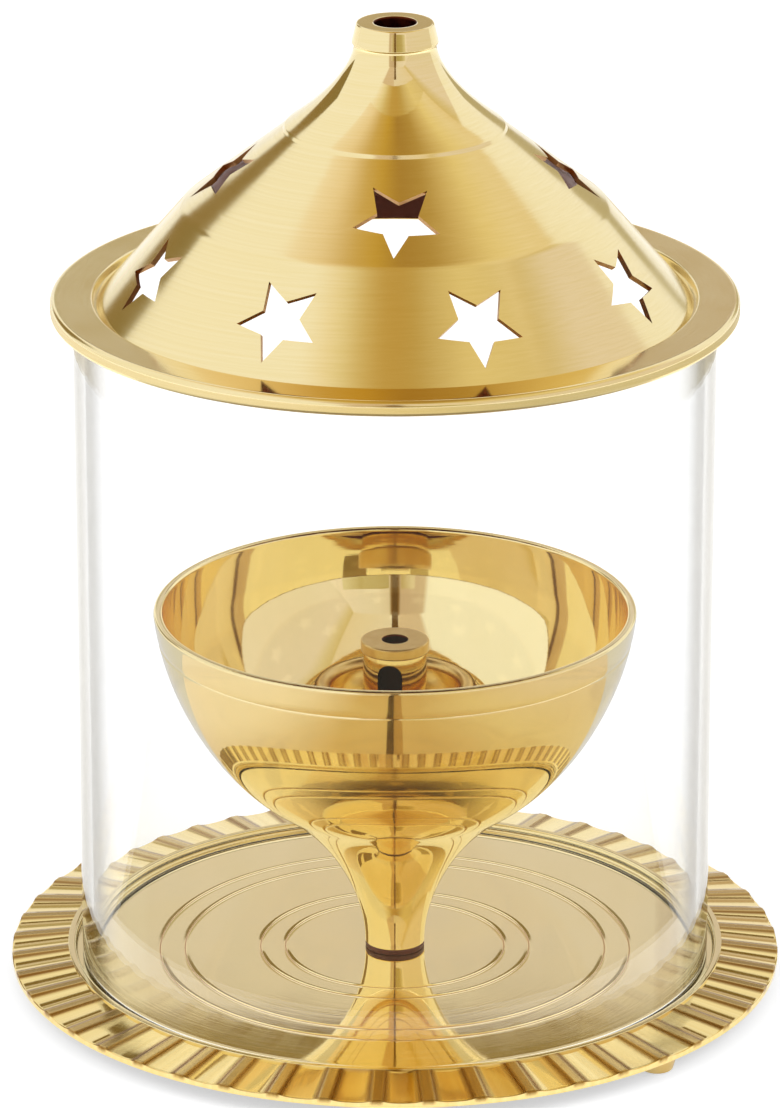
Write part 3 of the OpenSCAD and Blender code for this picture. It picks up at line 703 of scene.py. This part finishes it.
def satin_brass():
    """Spun brass, brushed on the lathe: soft highlights drawn out across the fine rings, a little paler than the
    mirror, and buffed brighter towards the neck. Brush marks of 0.1 mm are drawn 0.35 mm apart, so that they show."""
    material, tree, shader = new_material("brass_satin_spun")
    marks, place = turning_marks(tree, 0.35, 5.0)
    haze = add_node(tree, "ShaderNodeTexNoise", {"Vector": place, "Scale": 1 / (11 * MM), "Detail": 4.0}).outputs[0]
    tone = add_node(
        tree, "ShaderNodeMix", {0: marks.outputs[0], 6: linear("#F1DDA0"), 7: linear("#F8E8B9")}, data_type="RGBA")
    height = add_node(tree, "ShaderNodeSeparateXYZ", {0: place}).outputs[2]
    buffed = add_node(tree, "ShaderNodeMapRange", {0: height, 1: 138 * MM, 2: 146 * MM, 3: 1.0, 4: 0.45})
    rough = add_node(tree, "ShaderNodeMapRange", {0: haze, 1: NOISE_LOW, 2: NOISE_HIGH, 3: 0.11, 4: 0.16})
    rough = add_node(tree, "ShaderNodeMath", {0: rough.outputs[0], 1: buffed.outputs[0]}, operation="MULTIPLY")
    bump = add_node(tree, "ShaderNodeBump", {"Strength": 0.14, "Distance": 0.012 * MM, "Height": marks.outputs[0]})
    round_axis_z = add_node(tree, "ShaderNodeTangent", direction_type="RADIAL", axis="Z").outputs[0]
    feed(shader, {
        "Base Color": tone.outputs[2], "Roughness": rough.outputs[0], "Normal": bump.outputs[0],
        "Tangent": round_axis_z, "Metallic": 1.0, "Anisotropic": 0.5})
    return material


mirror, satin = polished_brass(), satin_brass()
print("Finishes from the lathe:", mirror.name, "and", satin.name)

# %% [markdown]
# ## Brass that the buff misses
# A buffing wheel never reaches everything. The flutes are only skimmed, cut edges stay as the tool left them, and the
# insides go brown. Some of these tones are also painted shade: brown along the flutes' flanks, darker feet, and dark
# insides where holes and the lid's underside lie in shade. The flutes read their own point attribute. The other
# finishes differ only in tones, gloss and the size of their clouds, so one function makes them all.


# %% Other brass
def milled_brass():
    """Flutes that the buff only skims: bright on the bottoms, with brown painted along the flanks, and half as strong
    on the lands, as the shade that the tilted flanks would reflect. Cutter lines about 1 mm apart run out along each
    flute, from noise over the direction from the axis."""
    material, tree, shader = new_material("brass_milled_flutes")
    flank = add_node(tree, "ShaderNodeAttribute", attribute_name="flank").outputs["Fac"]
    place = add_node(tree, "ShaderNodeTexCoord").outputs["Object"]
    outwards = add_node(tree, "ShaderNodeVectorMath", {0: place, 1: AWAY_FROM_AXIS}, operation="MULTIPLY")
    ray = add_node(tree, "ShaderNodeVectorMath", {0: outwards.outputs[0]}, operation="NORMALIZE")
    lines = add_node(tree, "ShaderNodeTexNoise", {"Vector": ray.outputs[0], "Scale": 60.0, "Detail": 2.0}).outputs[0]
    frayed = add_node(tree, "ShaderNodeMath", {0: lines, 1: 0.6, 2: flank}, operation="MULTIPLY_ADD")
    # Painted shade: brown along the flanks, half as strong on the lands, which also makes them rougher.
    brown = add_node(tree, "ShaderNodeMapRange", {0: frayed.outputs[0], 1: 0.45, 2: 1.3}).outputs[0]
    skimmed = add_node(tree, "ShaderNodeMix", {0: lines, 6: linear("#EACB7C"), 7: linear("#F8E4A4")}, data_type="RGBA")
    tone = add_node(tree, "ShaderNodeMix", {0: brown, 6: skimmed.outputs[2], 7: linear("#906420")}, data_type="RGBA")
    rough = add_node(tree, "ShaderNodeMapRange", {0: brown, 3: 0.08, 4: 0.3})
    feed(shader, {"Base Color": tone.outputs[2], "Roughness": rough.outputs[0], "Metallic": 1.0})
    return material


def clouded(name, cloud_mm, detail, dark, pale, roughness, metallic=1.0):
    """Material whose colour drifts between two tones, in clouds of a size in millimetres. A pair of values lets the
    roughness drift with them."""
    material, tree, shader = new_material(name)
    place = add_node(tree, "ShaderNodeTexCoord").outputs["Object"]
    per_cloud = 1 / (cloud_mm * MM)
    clouds = add_node(tree, "ShaderNodeTexNoise", {"Vector": place, "Scale": per_cloud, "Detail": detail}).outputs[0]
    tone = add_node(tree, "ShaderNodeMix", {0: clouds, 6: linear(dark), 7: linear(pale)}, data_type="RGBA")
    if isinstance(roughness, tuple):
        drift = {0: clouds, 1: NOISE_LOW, 2: NOISE_HIGH, 3: roughness[0], 4: roughness[1]}
        roughness = add_node(tree, "ShaderNodeMapRange", drift).outputs[0]
    feed(shader, {"Base Color": tone.outputs[2], "Roughness": roughness, "Metallic": metallic})
    return material


def finish_with(piece, *materials):
    """Puts the materials on a piece in the order of their numbers. The piece has none yet, and clearing would lose the
    numbers."""
    for material in materials:
        piece.data.materials.append(material)


milled = milled_brass()
# Cap, feet and the stand's rim: turned, not buffed, and darker and browner than the mirror. On the cap, by the flame,
# that is heat tint; on the feet it is painted shade, as they stand in the plate's shadow. Soft, warm highlights.
heat_tint_and_shade = clouded("brass_heat_tint_and_painted_shade", 2, 3.0, "#D0A658", "#EACE8C", 0.28)
# Edges of the stars and circles in the plate, where saw, file or tool went: rosier and duller than the faces.
sawn = clouded("brass_sawn_edge", 0.8, 2.0, "#B98450", "#D9B07A", 0.3)
# Inside faces, brown-red from heat, oil and old polish, and darker still as painted shade: they make the stars, the
# window and the holes read as dark.
tarnish_and_shade = clouded("brass_tarnish_and_painted_shade_inside", 3, 4.0, "#4A1A0C", "#6E3018", (0.3, 0.5))
finish_with(bowl, mirror)
# Painted shade: the feet take the darker tone because they stand in the plate's shadow.
for foot in feet:
    finish_with(foot, heat_tint_and_shade)
finish_with(plate, mirror, sawn, milled)
finish_with(stand, mirror, heat_tint_and_shade, satin)
finish_with(tube, mirror, tarnish_and_shade)
finish_with(cap, heat_tint_and_shade, tarnish_and_shade)
finish_with(lid, satin, sawn, tarnish_and_shade)
finish_with(collar, satin, tarnish_and_shade)
print("Brass finishes:", len(bpy.data.materials))

# %% [markdown]
# ## Glass, fibre and plated steel
# The glass is clear and almost without colour, with the faintest draw lines along its length, and a painted beige
# grey shade where it is seen along the wall. The washer is hard vulcanised fibre, dark and matt. Screw and flat washer
# under the plate keep their CAD solids and get a zinc finish.

# %% Other materials
DRAW_LINES = (1 / (6 * MM), 1 / (6 * MM), 1 / (120 * MM))


def drawn_glass():
    """Borosilicate tube: IOR 1.47, clear. Draw lines about 6 mm apart hardly move the light. Seen nearly along the
    wall, the tube's colour turns beige grey: painted shade that draws the chimney's edges, for the dark that such a
    wall shows, with a part for the light caught on its long way through the glass."""
    material, tree, shader = new_material("glass_borosilicate_drawn")
    place = add_node(tree, "ShaderNodeTexCoord").outputs["Object"]
    along = add_node(tree, "ShaderNodeVectorMath", {0: place, 1: DRAW_LINES}, operation="MULTIPLY")
    lines = add_node(tree, "ShaderNodeTexNoise", {"Vector": along.outputs[0], "Scale": 1.0, "Detail": 1.0}).outputs[0]
    bump = add_node(tree, "ShaderNodeBump", {"Strength": 0.05, "Distance": 0.05 * MM, "Height": lines})
    clear = add_node(tree, "ShaderNodeMix", {0: lines, 6: linear("#FBFCFB"), 7: linear("#FFFFFF")}, data_type="RGBA")
    # Painted shade at grazing angles: beige grey mixed into the colour where the wall is seen nearly edge on.
    facing = add_node(tree, "ShaderNodeLayerWeight", {"Blend": 0.5}).outputs["Facing"]
    edge = add_node(tree, "ShaderNodeMapRange", {0: facing, 1: 0.6, 2: 0.85}, interpolation_type="SMOOTHSTEP")
    tone = add_node(
        tree, "ShaderNodeMix", {0: edge.outputs[0], 6: clear.outputs[2], 7: linear("#7C7666")}, data_type="RGBA")
    feed(shader, {
        "Base Color": tone.outputs[2], "Normal": bump.outputs[0], "Roughness": 0.0, "IOR": 1.47,
        "Transmission Weight": 1.0})
    return material


finish_with(glass, drawn_glass())
glass.visible_shadow = False
# Hard washer board with short brown fibres of about half a millimetre: a dark, matt line under the stem.
finish_with(washer, clouded("fibre_vulcanised_dark", 0.5, 5.0, "#4A1A08", "#7C3A1A", 0.4, metallic=0.0))
# Bright zinc on steel, bluish grey, with a soft spangle of about 2 mm.
zinc = clouded("steel_zinc_plated", 2, 3.0, "#B9BCC0", "#D6D8DA", (0.25, 0.4))
for name in ("stem_screw", "screw_washer"):
    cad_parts[name].data.materials.clear()
    finish_with(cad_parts[name], zinc)
print("Materials in all:", len(bpy.data.materials))

# %% [markdown]
# ## Studio
# Shiny metal shows its surroundings, so a product photographer lights the room and not the object. Here the room is
# white, two soft boxes stand left and right, and tinted cards round the lamp give the brass the tones and lines that
# show its shape. The cards are seen only in reflections. Some are kept for the bowl behind the glass, and others for
# what stands in front of it, such as the flag, which keeps the white floor from veiling the glass. The floor is white,
# glows a little to the eye, and keeps the lamp's soft shadow.

# %% World and floor
WHITE = (1.0, 1.0, 1.0, 1.0)
# Light that has gone into the chimney and out again has passed more surfaces of glass than this.
ONE_WALL, GLASS_LOSS = 2.5, 0.15

scene = bpy.context.scene
scene.view_settings.view_transform = "Standard"
scene.cycles.max_bounces, scene.cycles.glossy_bounces, scene.cycles.transmission_bounces = 64, 32, 64
scene.cycles.caustics_reflective = False


def seen_by_eye(tree):
    """1 for camera, glossy and transmitted rays, 0 for light that only falls on a surface."""
    ray = add_node(tree, "ShaderNodeLightPath").outputs
    eye_or_mirror = add_node(
        tree, "ShaderNodeMath", {0: ray["Is Camera Ray"], 1: ray["Is Glossy Ray"]}, operation="MAXIMUM")
    any_of_three = add_node(
        tree, "ShaderNodeMath", {0: eye_or_mirror.outputs[0], 1: ray["Is Transmission Ray"]}, operation="MAXIMUM")
    return any_of_three.outputs[0]


def glass_gain(tree):
    """1, or 1.15 for light that has crossed the glass in and out: this makes up for what its four surfaces take."""
    depth = add_node(tree, "ShaderNodeLightPath").outputs["Transmission Depth"]
    crossed = add_node(tree, "ShaderNodeMath", {0: depth, 1: ONE_WALL}, operation="GREATER_THAN").outputs[0]
    gain = add_node(tree, "ShaderNodeMath", {0: crossed, 1: GLASS_LOSS, 2: 1.0}, operation="MULTIPLY_ADD")
    return gain.outputs[0]


def white_room():
    """World at full white to the eye and in mirrors, and at half strength as light on matt surfaces."""
    world = bpy.data.worlds.new("white_room")
    world.use_nodes = True
    tree = world.node_tree
    tree.nodes.clear()
    white = add_node(tree, "ShaderNodeMapRange", {0: seen_by_eye(tree), 3: 0.5, 4: 1.0}).outputs[0]
    strength = add_node(tree, "ShaderNodeMath", {0: white, 1: glass_gain(tree)}, operation="MULTIPLY").outputs[0]
    room = add_node(tree, "ShaderNodeBackground", {"Color": WHITE, "Strength": strength})
    add_node(tree, "ShaderNodeOutputWorld", {"Surface": room.outputs[0]})
    return world


def stage_plane(name, corners, material):
    """Flat stage piece, with its corners in metres."""
    mesh = bpy.data.meshes.new(name)
    mesh.from_pydata(corners, [], [range(len(corners))])
    mesh.materials.append(material)
    plane = bpy.data.objects.new(name, mesh)
    scene.collection.objects.link(plane)
    return plane


def white_paper():
    """Matt white paper, which glows a little to the eye and in mirrors, so that it runs out into the white room."""
    material, tree, shader = new_material("paper_matt_white")
    glow = add_node(tree, "ShaderNodeMapRange", {0: seen_by_eye(tree), 3: 0.0, 4: 0.55}).outputs[0]
    feed(shader, {
        "Emission Strength": glow, "Emission Color": WHITE, "Base Color": linear("#F4F4F4"), "Roughness": 0.9})
    return material


def level(span, near, far, z, far_span=None):
    """Corners of a flat card: the near side spans (left, right), and the far side its own span where that differs."""
    (left, right), (far_left, far_right) = span, far_span or span
    return [(left, near, z), (right, near, z), (far_right, far, z), (far_left, far, z)]


def upright(start, end, low, high):
    """Corners of a standing card from one (x, y) to another, between two heights."""
    return [(*start, low), (*end, low), (*end, high), (*start, high)]


def ring_piece(inner, outer, z, reach):
    """Corners of a flat piece of a ring round the lamp: it reaches that many degrees to both sides of the front."""
    turns = np.radians(np.linspace(-reach, reach, 37))
    return [(r * math.sin(a), -r * math.cos(a), z) for r, side in ((outer, turns), (inner, turns[::-1])) for a in side]


scene.world = white_room()
stage_plane("floor", level((-3, 3), -3, 3, 0), white_paper())
print("White room and floor made")


# %% Soft boxes and cards
def soft_box(name, place, aim, width, height, watts):
    """Rectangular lamp that faces a point. It lights matt surfaces, and mirrors and glass don't show it."""
    light = bpy.data.lights.new(name, "AREA")
    light.shape, light.size, light.size_y, light.energy = "RECTANGLE", width, height, watts
    lamp = bpy.data.objects.new(name, light)
    lamp.location = place
    lamp.rotation_euler = (Vector(aim) - Vector(place)).to_track_quat("-Z", "Y").to_euler()
    lamp.visible_glossy = lamp.visible_transmission = False
    scene.collection.objects.link(lamp)


def card(name, corners, tones, seen_from="all"):
    """Card that glows in a run of tones from left to right, given as (x in metres, hex colour). Only light that was
    mirrored meets it: for all other light it is transparent, so that it doesn't show through the glass. Seen from the
    bowl, it meets only light that has also crossed the glass in and out, and seen from the glass, only light that has
    not."""
    material = bpy.data.materials.new("card_" + name)
    material.use_nodes = True
    tree = material.node_tree
    tree.nodes.clear()
    place = add_node(tree, "ShaderNodeSeparateXYZ", {0: add_node(tree, "ShaderNodeTexCoord").outputs["Object"]})
    left, right = tones[0][0], tones[-1][0]
    share = add_node(tree, "ShaderNodeMapRange", {0: place.outputs[0], 1: left, 2: right})
    ramp = add_node(tree, "ShaderNodeValToRGB", {0: share.outputs[0]})
    while len(ramp.color_ramp.elements) < len(tones):
        ramp.color_ramp.elements.new(1.0)
    for stop, (x, hex_colour) in zip(ramp.color_ramp.elements, tones):
        stop.position, stop.color = (x - left) / (right - left), linear(hex_colour)
    glow = add_node(tree, "ShaderNodeEmission", {"Color": ramp.outputs[0], "Strength": glass_gain(tree)})
    through = add_node(tree, "ShaderNodeBsdfTransparent")
    path = add_node(tree, "ShaderNodeLightPath").outputs
    met = add_node(tree, "ShaderNodeMath", {0: path["Glossy Depth"], 1: 0.5}, operation="GREATER_THAN").outputs[0]
    if seen_from != "all":
        side = "GREATER_THAN" if seen_from == "bowl" else "LESS_THAN"
        sided = add_node(tree, "ShaderNodeMath", {0: path["Transmission Depth"], 1: ONE_WALL}, operation=side)
        met = add_node(tree, "ShaderNodeMath", {0: met, 1: sided.outputs[0]}, operation="MULTIPLY").outputs[0]
    both = add_node(tree, "ShaderNodeMixShader", {0: met, 1: through.outputs[0], 2: glow.outputs[0]})
    add_node(tree, "ShaderNodeOutputMaterial", {"Surface": both.outputs[0]})
    plane = stage_plane("card_" + name, corners, material)
    plane.visible_camera = plane.visible_diffuse = plane.visible_shadow = False


for x in (-0.8, 0.8):
    soft_box("soft_box", (x, -0.3, 0.6), (0, 0, 0.08), 0.9, 0.9, 4.0)
CEILING_Z, FRONT_Y, SLIT_Y, SLIT_END_Y, BACK_Y, FLOOR_CARD_Z = 1.1, -1.95, -1.93, -0.058, 2.9, 0.0005
# Ceiling, gold over the lamp and pale at the sides
card("ceiling_front", level((-0.55, 0.85), -0.75, -0.25, CEILING_Z), [
    (-0.55, "#FFFFFF"), (-0.4, "#F6ECD6"), (-0.33, "#EDE3C3"), (-0.2, "#D8C28A"), (-0.08, "#C8A963"), (0.03, "#C5A55F"),
    (0.13, "#C6AB69"), (0.26, "#D6C28E"), (0.45, "#EADAA8"), (0.85, "#E2D2A6")])
card("ceiling_over", level((-0.55, 0.85), -0.25, 0.9, CEILING_Z), [
    (-0.55, "#FBF2E6"), (-0.38, "#F2E2C7"), (-0.22, "#D3B674"), (-0.1, "#CBA84C"), (0.03, "#AC8946"), (0.2, "#B89A56"),
    (0.35, "#D6BF88"), (0.5, "#EDDDAA"), (0.7, "#F0E3C4"), (0.85, "#EDDDBA")])
card("front_top", level((-0.55, 1.5), FRONT_Y, -0.75, CEILING_Z), [
    (-0.55, "#FFFFFF"), (-0.47, "#DECBBA"), (-0.06, "#DECBBA"), (-0.04, "#EEE6E0"), (0.6, "#EEE2D2"), (1.5, "#E8D4AE")])
# Walls to the right and in front, with a dark slit in the middle that runs on over the ceiling and the floor
card("right_wall", [(1.5, FRONT_Y, 0), (1.5, 0.6, 0), (0.85, 0.6, CEILING_Z), (0.85, FRONT_Y, CEILING_Z)], [
    (0.85, "#DCCA98"), (0.9, "#E2D4B4"), (0.96, "#EDE3DE"), (1.25, "#EBE2DA"), (1.5, "#E9E2D4")])
card("front_right", upright((0.1, FRONT_Y), (1.5, FRONT_Y), 0, CEILING_Z), [
    (0.1, "#E6DAD0"), (0.3, "#EEE6E0"), (0.7, "#F0E8E4"), (1.0, "#F6EDEA"), (1.5, "#EEE6E0")])
card("front_left", upright((-0.62, FRONT_Y), (-0.1, FRONT_Y), 0, CEILING_Z), [
    (-0.62, "#FFFFFF"), (-0.53, "#D6C3B1"), (-0.1, "#CEB9A8")])
card("slit", upright((-0.105, SLIT_Y), (0.105, SLIT_Y), 0, CEILING_Z), [
    (-0.105, "#CEB9A8"), (-0.065, "#86642A"), (-0.04, "#67490F"), (0.04, "#67490F"), (0.065, "#8A6A30"),
    (0.105, "#E2D4C6")])
card("slit_top", level((-0.058, 0.058), SLIT_Y, -0.95, 1.09, far_span=(-0.045, 0.045)), [
    (-0.05, "#67490F"), (0.05, "#67490F")])
card("slit_floor", level((-0.05, 0.05), SLIT_Y, SLIT_END_Y, 0.0012, far_span=(-0.004, 0.004)), [
    (-0.05, "#B08A4C"), (0.05, "#B08A4C")], seen_from="bowl")
card("slit_core", level((-0.05, -0.01), SLIT_Y, SLIT_END_Y, 0.002, far_span=(-0.0042, -0.0006)), [
    (-0.05, "#4A3818"), (0.0, "#4A3818")], seen_from="bowl")
# Floor, as the bowl shows it, and as the glass, the band and the flange show it
card("front_floor", level((-0.5, 0.5), -0.75, 0.05, FLOOR_CARD_Z), [
    (-0.5, "#FFFFFF"), (-0.13, "#F8EEE6"), (-0.077, "#F3E6D5"), (-0.03, "#D2B57A"), (0.02, "#CDB077"),
    (0.064, "#DFCA9B"), (0.12, "#E1D0BC"), (0.5, "#E8D4AE")], seen_from="bowl")
card("back_floor", level((-0.5, 0.5), 0.05, 0.5, FLOOR_CARD_Z), [
    (-0.5, "#DADCE4"), (0.5, "#D4D4DC")], seen_from="bowl")
card("flag", ring_piece(0.075, 0.33, 0.0016, 90), [
    (-0.33, "#F2F0EC"), (-0.14, "#9C9280"), (0.14, "#9C9280"), (0.33, "#F2F0EC")], seen_from="glass")
card("flange_floor", ring_piece(0.33, 0.7, 0.0008, 178), [
    (-0.7, "#FFFFFF"), (-0.25, "#FFF8EA"), (0.0, "#F0E4C4"), (0.27, "#D8D0B9"), (0.7, "#E6E0CE")], seen_from="glass")
# Low front and the back wall, which the plate shows
card("front_low", upright((-0.35, -1.94), (1.0, -1.94), 0, 0.6), [
    (-0.35, "#E6DCC8"), (-0.12, "#BCA874"), (-0.04, "#9A7C3C"), (0.04, "#9A7C3C"), (0.12, "#B8A872"), (0.6, "#C4B684"),
    (1.0, "#E6DEC4")])
for name, low, high, left_tone, right_tone in (
        ("back_low", 0.85, 1.12, "#B6AA86", "#C4B096"), ("back_mid", 1.12, 1.3, "#DCD5D1", "#DAD1D0"),
        ("back_high", 1.3, 1.6, "#7E6A38", "#7C6836")):
    card(name, upright((-0.7, BACK_Y), (0.7, BACK_Y), low, high), [(-0.4, left_tone), (0.4, right_tone)])
card("left_back", upright((-0.79, 0.62), (-0.47, 0.88), 0.19, 0.67), [(-0.79, "#8E7E52"), (-0.47, "#947C4C")])
card("right_back", upright((0.26, 0.97), (0.54, 0.84), 0.14, 0.4), [(0.26, "#BDB08C"), (0.54, "#C1B89A")])

# %% [markdown]
# ## Camera
# The camera stands about a metre away with a long lens, a little above the lamp, so that it looks into the bowl and
# onto the plate. Its place, lens and slight turn were fitted to the round edges of plate, bowl, glass and lid.

# %% Camera
lens = bpy.data.cameras.new("camera")
lens.sensor_fit, lens.sensor_height, lens.lens = "VERTICAL", 36.0, 213.86
camera = bpy.data.objects.new("camera", lens)
camera.location = (0.0, -0.9719, 0.4208)
look = Vector((-0.000785, 0.0, 0.0699)) - camera.location
camera.rotation_euler = look.to_track_quat("-Z", "Y").to_euler()
scene.collection.objects.link(camera)
scene.camera = camera
print("Camera looks down by", round(math.degrees(math.asin(-look.z / look.length)), 1), "degrees")
